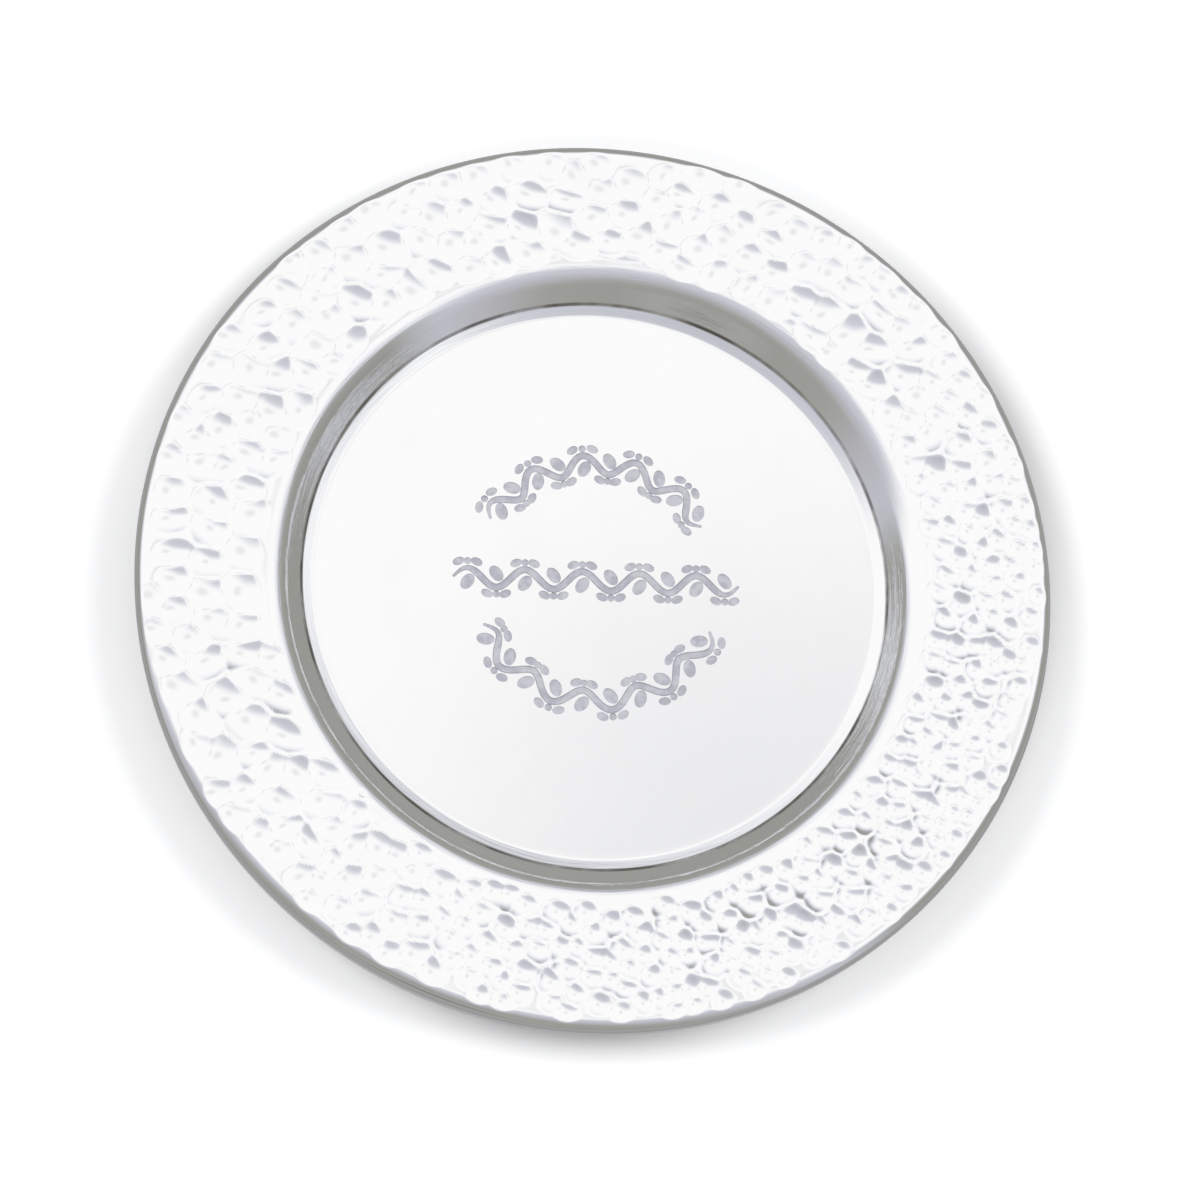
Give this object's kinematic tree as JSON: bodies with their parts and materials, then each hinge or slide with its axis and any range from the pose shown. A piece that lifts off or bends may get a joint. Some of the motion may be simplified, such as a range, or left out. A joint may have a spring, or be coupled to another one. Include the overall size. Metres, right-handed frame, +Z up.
{
  "type": "hammered round plate",
  "caption": "Round hand-hammered metal plate with a deep flat well, a broad planished rim and an edge turned down over a wire.",
  "frame": {"origin": "middle of the flat underside of the well, on which the plate stands", "axes": "+Z up along the plate's axis, out of the well; +Y towards the top of the engraved ornament as it is read"},
  "size_m": [0.15, 0.15, 0.0075],
  "materials": {
    "hammered_silver": "polished, planished by hand on the rim",
    "wire_silver": "polished, with fine drawing marks along the ring",
    "solder_silver": "satin, as it flowed"
  },
  "bodies": {
    "root": {"dish": "hammered_silver", "edge_wire": "wire_silver", "edge_solder": "solder_silver"}
  },
  "joints": []
}
